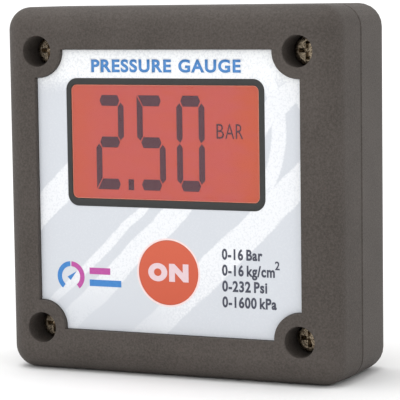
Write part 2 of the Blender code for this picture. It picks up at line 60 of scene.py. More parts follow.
# ---------------------------------------------------------------- places, from the CAD nodes
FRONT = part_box("front_housing")
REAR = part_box("rear_cover")
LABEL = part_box("label_overlay")
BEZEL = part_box("display_bezel")
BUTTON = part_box("on_button")
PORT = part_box("pressure_port")
SCREWS = [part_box(f"case_screw_{number}") for number in range(1, 5)]

SIZE = FRONT[1].x - FRONT[0].x
MID_X, MID_Z = centre_of(FRONT)
FACE_Y = FRONT[0].y
EDGE_Y = FRONT[1].y
BACK_Y = REAR[1].y
LABEL_Y = LABEL[0].y
BUTTON_CENTRE = centre_of(BUTTON)
DISPLAY_CENTRE = centre_of(BEZEL)
SCREW_CENTRES = [centre_of(screw) for screw in SCREWS]
SCREW_OFFSET = abs(SCREW_CENTRES[0][0] - MID_X)
PORT_CENTRE = centre_of(PORT)

BEYOND = MM  # how far a cutter stands out past what it cuts
SHARP = 32.0  # degrees from which an edge is drawn sharp

# Case
CORNER = 4.45 * MM
LEAST_CORNER = 0.15 * MM
SIDE_DRAFT = 1.1 * MM  # how far the sides lean in, from the parting line to the face
FRONT_FILLET_IN = 4.7 * MM
FRONT_FILLET_DEEP = 4.4 * MM
PARTING_LIP = 0.25 * MM
WALL = 2.4 * MM
PLATE = 3.4 * MM
OPENING_FIT = 0.3 * MM  # how far the display's opening keeps from its frame
INNER_LOBE = 4.4 * MM
COUNTERBORE = 2.92 * MM
COUNTERBORE_DEPTH = 7.6 * MM
COUNTERBORE_SOFT = 0.2 * MM
SCREW_HOLE = 1.75 * MM
BUTTON_HOLE = 6.5 * MM
POCKET_HALF = 27.05 * MM
POCKET_SHORT_TOP = 0.1 * MM  # how much nearer the middle the pocket's top edge lies than its sides
POCKET_SHORT_BOTTOM = 0.34 * MM  # the same for the bottom edge, with the lower two lobes
POCKET_BELOW_LABEL = 0.7 * MM
POCKET_SOFT = 0.16 * MM
LOBE = 5.0 * MM

# Case screws
HEAD_RIM = 0.75 * MM
HEAD_CROWN = 0.45 * MM
HEAD_HEIGHT = 1.8 * MM
SHANK = 1.4 * MM
SCREW_TIP = 0.5 * MM
SCREW_POINT = 0.9 * MM
RECESS_DEPTH = 1.1 * MM
RECESS_WIDE = 0.42 * MM  # half the width of the cross recess's arms
RECESS_LONG = 1.75 * MM  # half their length

# Label
LABEL_THICK = 0.4 * MM
LABEL_ROUND = 0.08 * MM
LABEL_FIT = 0.04 * MM  # how far the label keeps from the pocket's wall
HOLE_FIT = 0.03 * MM

# Display
BEZEL_CORNER = 2.2 * MM
BORDER_LEFT = 1.0 * MM
BORDER_RIGHT = 1.12 * MM
BORDER_TOP = 1.2 * MM
BORDER_BOTTOM = 1.45 * MM
LCD_CORNER = 1.1 * MM
CORNER_SHARE = 0.9  # how much of an inset the display's corner radii give up
LCD_Y = LABEL_Y + 0.12 * MM
WINDOW_THICK = 0.04 * MM
INK = 0.03 * MM

# Button
DISC = 6.13 * MM
HALO = 6.48 * MM
BUTTON_CAP = 2.9 * MM
BUTTON_FLANGE = 0.7 * MM
BUTTON_STEM = 1.5 * MM

# Port: stem, hexagon and pipe thread
STEM = 4.9 * MM
STEM_START = 4.0 * MM
HEX_GAP = 1.4 * MM
HEX_THICK = 6.0 * MM
HEX_FLATS = 17.0 * MM
NECK = 2.1 * MM
THREAD_PITCH = 0.907 * MM
THREAD_CREST = 4.86 * MM
THREAD_DEPTH = 0.56 * MM
BORE = 1.5 * MM


# ---------------------------------------------------------------- outlines, as lists of (x, z)


def arc(centre, radius, start, sweep, steps):
    """steps + 1 points along a circle's arc; start and sweep are in degrees."""
    points = []
    for i in range(steps + 1):
        angle = math.radians(start + sweep * i / steps)
        points.append((centre[0] + radius * math.cos(angle), centre[1] + radius * math.sin(angle)))
    return points


def quarter(steps):
    """A rounded edge's places: how far each is in from the side and back from the face, 0 to 1."""
    angles = [math.radians(90 * i / steps) for i in range(steps + 1)]
    return [(1 - math.sin(angle), 1 - math.cos(angle)) for angle in angles]


def circle(radius, centre, steps=64):
    """A closed circle of as many points as steps."""
    return arc(centre, radius, 0.0, 360.0 * (steps - 1) / steps, steps - 1)


def rounded_rect(width, height, radius, centre, steps=12):
    """A rectangle with round corners of steps + 1 points each."""
    points = []
    for start, side_x, side_z in ((0, 1, 1), (90, -1, 1), (180, -1, -1), (270, 1, -1)):
        corner = (
            centre[0] + side_x * (width / 2 - radius),
            centre[1] + side_z * (height / 2 - radius),
        )
        points += arc(corner, radius, start, 90, steps)
    return points


def notched_square(half, lobe, steps=20, short_top=0.0, short_bottom=0.0):
    """A square whose corners leave room for a round lobe about each case screw."""
    close = 0.001 * MM
    points = []
    for turn in range(4):
        around = Matrix.Rotation(math.radians(90 * turn), 2)
        corner = [(half, SCREW_OFFSET - lobe)]
        corner += arc((SCREW_OFFSET, SCREW_OFFSET), lobe, 270, -90, steps)
        corner += [(SCREW_OFFSET - lobe, half)]
        for point in corner:
            x, z = around @ Vector(point)
            if z >= half - close:
                z -= short_top
            if z < 0:
                z += short_bottom
            points.append((MID_X + x, MID_Z + z))
    return points


def pocket_outline(growth):
    """The label's pocket in the case's face, grown outwards."""
    return notched_square(
        POCKET_HALF + growth,
        LOBE - growth,
        short_top=POCKET_SHORT_TOP,
        short_bottom=POCKET_SHORT_BOTTOM,
    )


def case_outline(inset, lean=0.0):
    """The case's outline, inset all round, its left and right sides also moved in by the lean."""
    size = SIZE - 2 * inset
    corner = max(CORNER - inset, LEAST_CORNER)
    return rounded_rect(size - 2 * lean, size, corner, (MID_X, MID_Z), 14)


def bezel_outline(inset):
    """The outer edge of the display's frame."""
    width = BEZEL[1].x - BEZEL[0].x - 2 * inset
    height = BEZEL[1].z - BEZEL[0].z - 2 * inset
    return rounded_rect(width, height, BEZEL_CORNER - CORNER_SHARE * inset, DISPLAY_CENTRE)


def lcd_outline(inset):
    """The lit area inside the display's frame, whose borders are not all alike."""
    width = BEZEL[1].x - BEZEL[0].x - BORDER_LEFT - BORDER_RIGHT
    height = BEZEL[1].z - BEZEL[0].z - BORDER_TOP - BORDER_BOTTOM
    centre = (
        DISPLAY_CENTRE[0] + (BORDER_LEFT - BORDER_RIGHT) / 2,
        DISPLAY_CENTRE[1] + (BORDER_BOTTOM - BORDER_TOP) / 2,
    )
    corner = LCD_CORNER - CORNER_SHARE * inset
    return rounded_rect(width - 2 * inset, height - 2 * inset, corner, centre)


def flared(outline_at, floor_y, soft):
    """Sections of a cutter from a floor out past the case's face, its mouth rounded at the face."""
    sections = [(outline_at(0.0), floor_y)]
    for deep, spread in quarter(4):
        sections.append((outline_at(soft * spread), FACE_Y + soft * deep))
    sections.append((outline_at(soft), FACE_Y - BEYOND))
    return sections


# ---------------------------------------------------------------- meshes and pieces


def placed(name, data):
    """A new object in the scene, from a mesh, a text curve, a light or a camera."""
    made = bpy.data.objects.new(name, data)
    bpy.context.scene.collection.objects.link(made)
    return made


def mesh_of(name, bm):
    """A mesh from a bmesh, which is used up."""
    mesh = bpy.data.meshes.new(name)
    bm.to_mesh(mesh)
    bm.free()
    return mesh


def shaded(mesh, sharp=SHARP):
    """Smooth faces, with the edges past an angle, in degrees, left sharp."""
    mesh.shade_smooth()
    mesh.set_sharp_from_angle(angle=math.radians(sharp))
    return mesh


def bridge(bm, one, other):
    """A band of faces between two loops of equal length."""
    for i in range(len(one)):
        j = (i + 1) % len(one)
        bm.faces.new((one[i], one[j], other[j], other[i]))


def skin(name, sections, ring=False):
    """A closed mesh through equally long outlines, each at its depth; a ring has no end faces."""
    bm = bmesh.new()
    loops = []
    for outline, depth in sections:
        loops.append([bm.verts.new((x, depth, z)) for x, z in outline])
    pairs = list(zip(loops, loops[1:]))
    if ring:
        pairs.append((loops[-1], loops[0]))
    else:
        bm.faces.new(loops[0])
        bm.faces.new(loops[-1])
    for one, other in pairs:
        bridge(bm, one, other)
    bmesh.ops.recalc_face_normals(bm, faces=bm.faces)
    return placed(name, shaded(mesh_of(name, bm)))


def slab(name, outline, low, high):
    """An outline made solid between two depths."""
    return skin(name, [(outline, low), (outline, high)])


def turned(name, profile, centre, steps=64):
    """A round solid; the profile is a list of (radius, depth)."""
    return skin(name, [(circle(r, centre, steps), y) for r, y in profile])


def drill(name, radius, low, high, centre, steps=64):
    """A round cutter of one radius between two depths."""
    return turned(name, [(radius, low), (radius, high)], centre, steps)


def combined(target, operation, others):
    """The target after its Boolean operations, with the other meshes used up."""
    for other in others:
        step = target.modifiers.new(other.name, "BOOLEAN")
        step.operation = operation
        step.solver = "EXACT"
        step.object = other
    graph = bpy.context.evaluated_depsgraph_get()
    mesh = bpy.data.meshes.new_from_object(target.evaluated_get(graph))
    target.modifiers.clear()
    target.data = shaded(mesh)
    for other in others:
        bpy.data.objects.remove(other)
    return target


def finished(made, body, look, slot, *nodes):
    """Paints a piece, lets it ride on its body and hides the CAD nodes that it stands for."""
    made.data.materials.clear()
    made.data.materials.append(look)
    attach(made, body)
    if nodes:
        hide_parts(*nodes)
    return made


def joined(name, parts):
    """One object from several meshes."""
    bm = bmesh.new()
    for part in parts:
        part.data.transform(part.matrix_world)
        bm.from_mesh(part.data)
        bpy.data.objects.remove(part)
    return placed(name, shaded(mesh_of(name, bm)))


def lettering(
    name, words, low_x, high_x, base_z, cap_height, face_y, bold=0.0, spacing=1.0, gap=1.0
):
    """Raised print: words between two places in x, standing on base_z, on the face at face_y.

    Bold is the outline's growth and the gap the width of a space, both as the font counts them.
    """
    curve = bpy.data.curves.new(name, "FONT")
    curve.body = "H"
    curve.resolution_u = 6
    made = placed(name, curve)
    font_cap = flat_box(made)[1].y
    curve.body = words
    curve.offset = bold
    curve.space_character = spacing
    curve.space_word = gap
    low, high = flat_box(made)
    graph = bpy.context.evaluated_depsgraph_get()
    mesh = bpy.data.meshes.new_from_object(made.evaluated_get(graph))
    bpy.data.objects.remove(made)
    stretch = (high_x - low_x) / (high.x - low.x)
    rise = cap_height / (font_cap + 2 * bold)
    bm = bmesh.new()
    bm.from_mesh(mesh)
    for vert in bm.verts:
        x, z = vert.co.x, vert.co.y
        vert.co = (low_x + (x - low.x) * stretch, face_y, base_z + (z + bold) * rise)
    thicken(bm, face_y)
    return placed(name, mesh_of(name, bm))


def flat_box(item):
    """The lowest and highest corners of an object as it is evaluated."""
    bpy.context.view_layer.update()
    graph = bpy.context.evaluated_depsgraph_get()
    corners = [Vector(corner) for corner in item.evaluated_get(graph).bound_box]
    low = Vector([min(corner[i] for corner in corners) for i in range(3)])
    high = Vector([max(corner[i] for corner in corners) for i in range(3)])
    return low, high


def thicken(bm, face_y):
    """Turns flat faces at face_y into a closed film, INK thick, standing out to the front."""
    bmesh.ops.remove_doubles(bm, verts=bm.verts, dist=1e-7)
    flat = list(bm.faces)
    grown = bmesh.ops.extrude_face_region(bm, geom=flat, use_keep_orig=True)
    for item in grown["geom"]:
        if isinstance(item, bmesh.types.BMVert):
            item.co.y = face_y - INK
    bmesh.ops.recalc_face_normals(bm, faces=bm.faces)


def film(name, outlines, face_y):
    """Raised print from closed outlines of (x, z)."""
    bm = bmesh.new()
    for outline in outlines:
        bm.faces.new([bm.verts.new((x, face_y, z)) for x, z in outline])
    thicken(bm, face_y)
    return placed(name, mesh_of(name, bm))


def ribbon(outer, inner):
    """The four-sided strips between two point lists of equal length."""
    strips = []
    for i in range(len(outer) - 1):
        strips.append([outer[i], outer[i + 1], inner[i + 1], inner[i]])
    return strips


def hoop_strips(outer, inner):
    """The strips between two closed outlines."""
    return ribbon(outer + outer[:1], inner + inner[:1])


def at_label(x, z):
    """A place on the label, from its middle, in millimetres."""
    return (MID_X + x * MM, MID_Z + z * MM)


def line_on_label(start, end, base_z):
    """A line of print's start and end in x and its base in z, from places on the label."""
    low, base = at_label(start, base_z)
    high, _ = at_label(end, base_z)
    return low, high, base


# ---------------------------------------------------------------- materials


class Nodes:
    """A small builder for node trees; coordinates are in millimetres of the object's frame."""

    def __init__(self, name):
        self.material = bpy.data.materials.new(name)
        self.material.use_nodes = True
        self.tree = self.material.node_tree
        self.shader = self.tree.nodes["Principled BSDF"]
        where = self.tree.nodes.new("ShaderNodeTexCoord").outputs["Object"]
        scaled = self.node("ShaderNodeVectorMath", operation="SCALE")
        self.link(where, scaled.inputs[0])
        scaled.inputs["Scale"].default_value = 1 / MM
        self.place = scaled.outputs[0]
        split = self.node("ShaderNodeSeparateXYZ")
        self.link(self.place, split.inputs[0])
        self.x, self.y, self.z = split.outputs

    def node(self, kind, **settings):
        made = self.tree.nodes.new(kind)
        for key, value in settings.items():
            setattr(made, key, value)
        return made

    def link(self, source, target):
        self.tree.links.new(source, target)

    def put(self, socket, value):
        """Links another node's output to a socket, or sets the socket's own value."""
        if isinstance(value, bpy.types.NodeSocket):
            self.link(value, socket)
        elif isinstance(value, (tuple, list)) and len(value) == 3 and socket.type == "RGBA":
            socket.default_value = (*value, 1.0)
        else:
            socket.default_value = value

    def math(self, operation, *values, clamp=False):
        made = self.node("ShaderNodeMath", operation=operation, use_clamp=clamp)
        for socket, value in zip(made.inputs, values):
            self.put(socket, value)
        return made.outputs[0]

    def stretched(self, x, y, z):
        """The place multiplied along each axis, for a pattern drawn out along one of them."""
        made = self.node("ShaderNodeVectorMath", operation="MULTIPLY")
        self.link(self.place, made.inputs[0])
        made.inputs[1].default_value = (x, y, z)
        return made.outputs[0]

    def noise(self, scale, detail=3.0, roughness=0.55, place=None):
        made = self.node("ShaderNodeTexNoise")
        self.link(place or self.place, made.inputs["Vector"])
        made.inputs["Scale"].default_value = scale
        made.inputs["Detail"].default_value = detail
        made.inputs["Roughness"].default_value = roughness
        return made.outputs["Fac"]

    def remap(self, value, low, high, to_low=0.0, to_high=1.0):
        made = self.node("ShaderNodeMapRange")
        for socket, item in zip(made.inputs, (value, low, high, to_low, to_high)):
            self.put(socket, item)
        return made.outputs[0]

    def smooth(self, value, low, high):
        """From 0 at low to 1 at high, with soft ends."""
        made = self.node("ShaderNodeMapRange", interpolation_type="SMOOTHSTEP")
        for socket, item in zip(made.inputs, (value, low, high, 0.0, 1.0)):
            self.put(socket, item)
        return made.outputs[0]

    def mix(self, factor, one, other):
        made = self.node("ShaderNodeMix", data_type="RGBA")
        self.put(made.inputs["Factor"], factor)
        self.put(made.inputs["A"], one)
        self.put(made.inputs["B"], other)
        return made.outputs["Result"]

    def bump(self, height, distance):
        """A normal from a height; the distance is in millimetres."""
        made = self.node("ShaderNodeBump")
        self.put(made.inputs["Height"], height)
        made.inputs["Distance"].default_value = distance * MM
        made.inputs["Strength"].default_value = 1.0
        return made.outputs["Normal"]

    def done(self, **inputs):
        """Fills the shader's inputs, whose names have _ for each space, and gives the material."""
        for name, value in inputs.items():
            self.put(self.shader.inputs[name.replace("_", " ")], value)
        return self.material


def linear(red, green, blue):
    """A colour given in ordinary 0 to 255 steps, as the linear values that shaders use."""
    made = []
    for value in (red, green, blue):
        step = value / 255
        made.append(step / 12.92 if step <= 0.04045 else ((step + 0.055) / 1.055) ** 2.4)
    return tuple(made)


def moulded(name, dark, light, roughness, grain, depth):
    """Moulded plastic: fine spark-eroded grain, faint cloudiness, a little shine on the peaks."""
    n = Nodes(name)
    fine = n.noise(grain, 4.0, 0.6)
    cloud = n.noise(0.12, 2.0)
    mixed = n.math("ADD", n.math("MULTIPLY", fine, 0.55), n.math("MULTIPLY", cloud, 0.45))
    colour = n.mix(n.remap(mixed, 0.35, 0.65), dark, light)
    rough = n.remap(fine, 0.3, 0.7, roughness + 0.07, roughness - 0.07)
    return n.done(Base_Color=colour, Roughness=rough, Normal=n.bump(fine, depth))


def metal(name, dark, light, roughness, streak, grain, depth):
    """Machined or drawn metal: streaks along the tool's path, with faint tarnish."""
    n = Nodes(name)
    lines = n.noise(grain, 3.0, 0.6, n.stretched(*streak))
    tarnish = n.noise(0.35, 3.0, 0.6)
    mixed = n.math("ADD", n.math("MULTIPLY", lines, 0.5), n.math("MULTIPLY", tarnish, 0.5))
    colour = n.mix(n.remap(mixed, 0.35, 0.65), dark, light)
    rough = n.remap(lines, 0.3, 0.7, roughness - 0.08, roughness + 0.1)
    return n.done(Base_Color=colour, Metallic=1.0, Roughness=rough, Normal=n.bump(lines, depth))


def case_material():
    """Warm charcoal plastic with a fine spark-eroded grain."""
    n = Nodes("case_plastic")
    fine = n.noise(2.6, 5.0, 0.65)
    speck = n.noise(7.0, 2.0, 0.5)
    cloud = n.noise(0.08, 3.0, 0.5)
    mixed = n.math("ADD", n.math("MULTIPLY", fine, 0.75), n.math("MULTIPLY", cloud, 0.25))
    colour = n.mix(n.remap(mixed, 0.38, 0.62), linear(69, 64, 60), linear(87, 81, 77))
    rough = n.remap(speck, 0.3, 0.7, 0.62, 0.48)
    height = n.math("ADD", fine, n.math("MULTIPLY", speck, 0.4))
    return n.done(
        Base_Color=colour,
        Roughness=rough,
        Specular_IOR_Level=0.12,
        Normal=n.bump(height, 0.06),
    )


def label_material():
    """White printed film: plain pale diagonal bands and one arc, a dotted grain, a soft sheen,
    painted light at the top and painted shade in the lower left.
    """
    n = Nodes("label_print")
    blur = 0.25
    across = n.math("SUBTRACT", n.x, MID_X / MM)
    up = n.math("SUBTRACT", n.z, MID_Z / MM)
    wobble = n.math("MULTIPLY", n.math("SUBTRACT", n.noise(0.09, 2.0), 0.5), 2.2)

    def within(away, width):
        return n.math("SUBTRACT", 1.0, n.smooth(away, width / 2 - blur, width / 2 + blur))

    def stripe(angle, offset, width):
        turn = math.radians(angle)
        sideways = n.math("MULTIPLY", across, math.sin(turn))
        along = n.math("ADD", sideways, n.math("MULTIPLY", up, -math.cos(turn)))
        away = n.math("ABSOLUTE", n.math("SUBTRACT", n.math("ADD", along, wobble), offset))
        return within(away, width)

    def hoop(x, z, radius, width):
        dx = n.math("POWER", n.math("ABSOLUTE", n.math("SUBTRACT", across, x)), 2.0)
        dz = n.math("POWER", n.math("ABSOLUTE", n.math("SUBTRACT", up, z)), 2.0)
        away = n.math("ABSOLUTE", n.math("SUBTRACT", n.math("SQRT", n.math("ADD", dx, dz)), radius))
        return within(away, width)

    upper_right = n.math("MULTIPLY", n.smooth(across, 0.0, 1.0), n.smooth(up, -1.0, 2.0))
    light = n.math("MULTIPLY", hoop(1.0, 12.0, 21.6, 2.8), upper_right)
    shallow, steep = 44, -63
    top_band = n.math("MULTIPLY", stripe(steep, -14.0, 8.4), n.smooth(up, 18.0, 19.0))
    light = n.math("MAXIMUM", light, top_band)
    for band in (
        stripe(shallow, 16.3, 5.4),
        stripe(shallow, -15.7, 5.3),
        stripe(shallow, -1.5, 1.7),
        stripe(shallow, 3.6, 4.2),
        stripe(steep, -34.0, 6.0),
    ):
        light = n.math("MAXIMUM", light, band)
    # Painted light: the label's top, about the heading, is made paler and whiter, lifting the shade
    # that the pocket's wall casts there.
    header = n.smooth(up, 18.0, 23.0)
    light = n.math("MAXIMUM", light, n.math("MULTIPLY", header, 0.9))
    light = n.math("MULTIPLY", light, n.remap(up, -24.0, -12.0, 0.6, 1.0))
    speck = n.remap(n.noise(2.6, 2.0, 0.6), 0.38, 0.62, -0.5, 0.5)
    grain = n.math("MULTIPLY", speck, n.remap(light, 0.0, 1.0, 0.2, 0.8))
    light = n.math("ADD", light, grain, clamp=True)
    # Painted light: the pale colour turns whiter at the top.
    bright = n.mix(header, linear(232, 234, 237), linear(241, 243, 244))
    colour = n.mix(light, linear(204, 208, 214), bright)
    # Painted shade: the lower left turns grey, unevenly with the grain.
    low_left = n.math("MULTIPLY", n.smooth(up, -14.0, -25.0), n.smooth(across, 6.0, -8.0))
    dots = n.math("ADD", n.math("MULTIPLY", speck, 0.8), 0.5)
    painted_shade_low_left = n.math("MULTIPLY", low_left, dots, clamp=True)
    colour = n.mix(painted_shade_low_left, colour, linear(203, 207, 213))
    rough = n.remap(n.noise(3.5, 2.0), 0.3, 0.7, 0.34, 0.46)
    return n.done(Base_Color=colour, Roughness=rough, Normal=n.bump(n.noise(4.0, 2.0), 0.004))


def lcd_material():
    """Lit display: red in the middle, more orange towards both ends, with faint mottling."""
    n = Nodes("lcd_red")
    across = n.math("SUBTRACT", n.x, DISPLAY_CENTRE[0] / MM)
    ends = n.smooth(n.math("ABSOLUTE", across), 12.0, 19.5)
    mottle = n.noise(0.4, 4.0, 0.65, n.stretched(0.6, 1.0, 1.6))
    uneven = n.math("MULTIPLY", n.math("SUBTRACT", mottle, 0.45), 2.2)
    ends = n.math("ADD", ends, uneven, clamp=True)
    end_colour = n.mix(n.smooth(across, -4.0, 4.0), linear(176, 62, 34), linear(176, 62, 14))
    colour = n.mix(ends, linear(174, 62, 54), end_colour)
    fine = n.remap(n.noise(2.0, 3.0), 0.3, 0.7, 0.0, 1.0)
    colour = n.mix(n.math("MULTIPLY", fine, 0.3), colour, linear(176, 66, 46))
    return n.done(
        Base_Color=colour,
        Roughness=n.remap(mottle, 0.3, 0.7, 0.42, 0.5),
        Emission_Color=colour,
        Emission_Strength=0.12,
    )


def ink_material(name, colour, worn, shine=0.4):
    """Screen-printed ink with slightly uneven cover; its two colours are in 0 to 255 steps."""
    n = Nodes(name)
    cover = n.noise(2.2, 3.0, 0.6)
    wear = n.remap(cover, 0.35, 0.75, 0.0, 0.55)
    return n.done(
        Base_Color=n.mix(wear, linear(*colour), linear(*worn)),
        Roughness=n.remap(cover, 0.3, 0.7, 0.4, 0.55),
        Specular_IOR_Level=shine,
    )


def button_material():
    """Orange-red print under a satin film, lighter towards the top as painted light."""
    n = Nodes("button_orange")
    fine = n.noise(2.4, 3.0, 0.6)
    height = n.math("SUBTRACT", n.z, BUTTON_CENTRE[1] / MM)
    # Painted light: the disc grows lighter towards its top.
    painted_light_upwards = n.remap(height, -6.0, 6.0, 0.0, 0.6)
    painted_light_with_grain = n.math("ADD", painted_light_upwards, n.math("MULTIPLY", fine, 0.5), clamp=True)
    colour = n.mix(painted_light_with_grain, linear(193, 77, 45), linear(202, 89, 60))
    rough = n.remap(fine, 0.3, 0.7, 0.38, 0.5)
    return n.done(Base_Color=colour, Roughness=rough, Normal=n.bump(fine, 0.004))


def window_material():
    """Clear satin film over the display."""
    n = Nodes("clear_window")
    clear = n.node("ShaderNodeBsdfTransparent")
    gloss = n.node("ShaderNodeBsdfGlossy")
    gloss.inputs["Roughness"].default_value = 0.35
    n.link(n.bump(n.noise(3.0, 2.0), 0.003), gloss.inputs["Normal"])
    blend = n.node("ShaderNodeMixShader")
    blend.inputs["Fac"].default_value = 0.018
    n.link(clear.outputs[0], blend.inputs[1])
    n.link(gloss.outputs[0], blend.inputs[2])
    out = next(item for item in n.tree.nodes if item.type == "OUTPUT_MATERIAL")
    n.link(blend.outputs[0], out.inputs["Surface"])
    return n.material


def board_material():
    """Green solder mask over faint copper tracks."""
    n = Nodes("board_green")
    brick = n.node("ShaderNodeTexBrick")
    n.link(n.place, brick.inputs["Vector"])
    brick.inputs["Scale"].default_value = 0.35
    tracks = n.math("MULTIPLY", brick.outputs["Fac"], 0.6)
    colour = n.mix(tracks, linear(22, 92, 58), linear(60, 130, 70))
    return n.done(Base_Color=colour, Roughness=n.remap(n.noise(1.5), 0.3, 0.7, 0.3, 0.45))


def zebra_material():
    """Conductive and insulating layers along the strip."""
    n = Nodes("zebra_rubber")
    stripes = n.math("FRACT", n.math("MULTIPLY", n.x, 4.0))
    colour = n.mix(n.smooth(stripes, 0.45, 0.55), linear(190, 160, 165), linear(40, 36, 38))
    return n.done(Base_Color=colour, Roughness=0.7)


def cell_material():
    """Printed sleeve: dark blue with a pale band near each end and a bare steel rim."""
    n = Nodes("cell_sleeve")
    along = n.math("ABSOLUTE", n.x)
    sleeve = n.mix(n.noise(0.5), linear(24, 60, 110), linear(30, 74, 128))
    past = n.smooth(along, 15.4, 15.7)
    band = n.math("MULTIPLY", n.smooth(along, 13.5, 13.8), n.math("SUBTRACT", 1.0, past))
    colour = n.mix(band, sleeve, linear(210, 214, 218))
    bare = n.smooth(along, 20.9, 21.2)
    colour = n.mix(bare, colour, linear(190, 190, 186))
    rough = n.remap(n.noise(3.0), 0.3, 0.7, 0.28, 0.4)
    return n.done(Base_Color=colour, Metallic=bare, Roughness=rough)


def plate_material():
    """Blank anodised plate, brushed sideways."""
    n = Nodes("plate_silver")
    lines = n.noise(3.0, 4.0, 0.7, n.stretched(0.15, 1.0, 4.0))
    colour = n.mix(lines, linear(160, 162, 165), linear(205, 206, 208))
    return n.done(Base_Color=colour, Metallic=0.8, Roughness=n.remap(lines, 0.3, 0.7, 0.35, 0.5))


def plastic_looks():
    """Slots of moulded plastic or rubber: dark and light colour, roughness, grain and its depth."""
    rows = (
        ("seal_rubber", (26, 26, 26), (38, 38, 37), 0.75, 3.0, 0.03),
        ("bezel_grey", (25, 27, 26), (38, 39, 38), 0.42, 3.5, 0.01),
        ("guide_acrylic", (238, 170, 140), (246, 186, 160), 0.15, 1.0, 0.002),
        ("lamp_amber", (240, 170, 90), (250, 190, 110), 0.2, 1.0, 0.002),
        ("white_plastic", (226, 226, 222), (238, 238, 235), 0.45, 3.2, 0.03),
        ("black_plastic", (30, 30, 31), (44, 44, 45), 0.5, 3.2, 0.03),
        ("plunger_plastic", (120, 120, 120), (138, 138, 138), 0.5, 3.2, 0.03),
        ("chip_black", (24, 24, 26), (36, 36, 38), 0.45, 3.2, 0.03),
        ("capacitor_yellow", (190, 148, 52), (208, 166, 66), 0.35, 3.2, 0.03),
        ("vent_white", (206, 206, 202), (228, 228, 225), 0.8, 5.0, 0.03),
    )
    return {row[0]: moulded(row[0], linear(*row[1]), linear(*row[2]), *row[3:]) for row in rows}


def metal_looks():
    """Slots of bare metal: dark and light colour, roughness, streak, grain and its depth."""
    rows = (
        ("yellow_zinc", (72, 60, 46), (200, 183, 158), 0.3, (1, 1, 1), 2.8, 0.09),
        ("plated_steel", (170, 170, 166), (214, 214, 210), 0.28, (1, 1, 6), 1.5, 0.004),
        ("crystal_can", (180, 180, 180), (214, 214, 214), 0.25, (1, 1, 5), 2.0, 0.004),
        ("port_brass", (176, 138, 72), (214, 178, 108), 0.27, (1, 6, 1), 1.2, 0.004),
    )
    return {row[0]: metal(row[0], linear(*row[1]), linear(*row[2]), *row[3:]) for row in rows}


def make_looks():
    """One material for each slot of the record."""
    return {
        "case_plastic": case_material(),
        "label_print": label_material(),
        "clear_window": window_material(),
        "lcd_red": lcd_material(),
        "zebra_rubber": zebra_material(),
        "button_orange": button_material(),
        "board_green": board_material(),
        "cell_sleeve": cell_material(),
        "plate_silver": plate_material(),
        **plastic_looks(),
        **metal_looks(),
    }


def paint_cad(looks):
    """Every CAD node gets the full material of its slot."""
    for row in frame["record"]["subparts"]:
        mesh = frame["nodes"][row["node"]].data
        mesh.materials.clear()
        mesh.materials.append(looks[row["material_slot"]])
        shaded(mesh)


# ---------------------------------------------------------------- case


def edge_sections(steps=12):
    """From the flat face round the edge to the side; the sides lean in towards the front."""
    sections = []
    for inwards, back in quarter(steps):
        depth = FRONT_FILLET_DEEP * back
        lean = SIDE_DRAFT * (1 - depth / (EDGE_Y - FACE_Y))
        sections.append((case_outline(FRONT_FILLET_IN * inwards, lean), FACE_Y + depth))
    return sections


def front_housing(look):
    """The front shell: its cavity, label pocket, display opening, button hole, counterbores."""
    sections = edge_sections()
    sections += [
        (case_outline(0.0), EDGE_Y - PARTING_LIP),
        (case_outline(0.4 * PARTING_LIP), EDGE_Y - 0.3 * PARTING_LIP),
        (case_outline(PARTING_LIP), EDGE_Y),
    ]
    shell = skin("case_front", sections)
    before = FACE_Y - BEYOND
    plate_back = FACE_Y + PLATE
    behind = plate_back + BEYOND
    seat = FACE_Y + COUNTERBORE_DEPTH
    past_edge = 2 * MM
    cutters = [
        slab("cavity", notched_square(SIZE / 2 - WALL, INNER_LOBE, 8), plate_back, EDGE_Y + BEYOND),
        skin("pocket", flared(pocket_outline, LABEL_Y + POCKET_BELOW_LABEL, POCKET_SOFT)),
        slab("opening", bezel_outline(-OPENING_FIT), before, behind),
        drill("button_hole", BUTTON_HOLE, before, behind, BUTTON_CENTRE),
    ]
    for number, centre in enumerate(SCREW_CENTRES, 1):
        mouth = flared(lambda e: circle(COUNTERBORE + e, centre, 48), seat, COUNTERBORE_SOFT)
        cutters.append(skin(f"counterbore_{number}", mouth))
        cutters.append(drill(f"hole_{number}", SCREW_HOLE, seat - BEYOND, past_edge, centre, 24))
    combined(shell, "DIFFERENCE", cutters)
    return finished(shell, "case", look, "case_plastic", "front_housing")


def case_screw(number, centre, look):
    """The head, with a rounded rim and a cross recess that narrows inwards, and the shank."""
    low, high = SCREWS[number - 1]
    top, end = low.y, high.y
    radius = (high.x - low.x) / 2
    flat = 0.02 * MM
    profile = [(radius - HEAD_RIM, top)]
    for inwards, back in quarter(5):
        profile.append((radius - HEAD_RIM * inwards, top + flat + HEAD_CROWN * back))
    under = top + HEAD_HEIGHT
    profile += [(radius, under), (SHANK, under), (SHANK, end - SCREW_POINT), (SCREW_TIP, end)]
    made = turned(f"screw_{number}", profile, centre, 40)
    arms = []
    shapes = (("upright", RECESS_WIDE, RECESS_LONG), ("level", RECESS_LONG, RECESS_WIDE))
    for name, wide, tall in shapes:
        mouth = rounded_rect(2 * wide, 2 * tall, 0.12 * MM, centre, 3)
        deep = rounded_rect(1.3 * wide, 1.3 * tall, 0.1 * MM, centre, 3)
        arm = [(mouth, top - 0.3 * MM), (mouth, top + 0.05 * MM), (deep, top + RECESS_DEPTH)]
        arms.append(skin(f"recess_{name}_{number}", arm))
    combined(made, "DIFFERENCE", arms)
    return finished(made, "case", look, "yellow_zinc", f"case_screw_{number}")


# ---------------------------------------------------------------- label and print


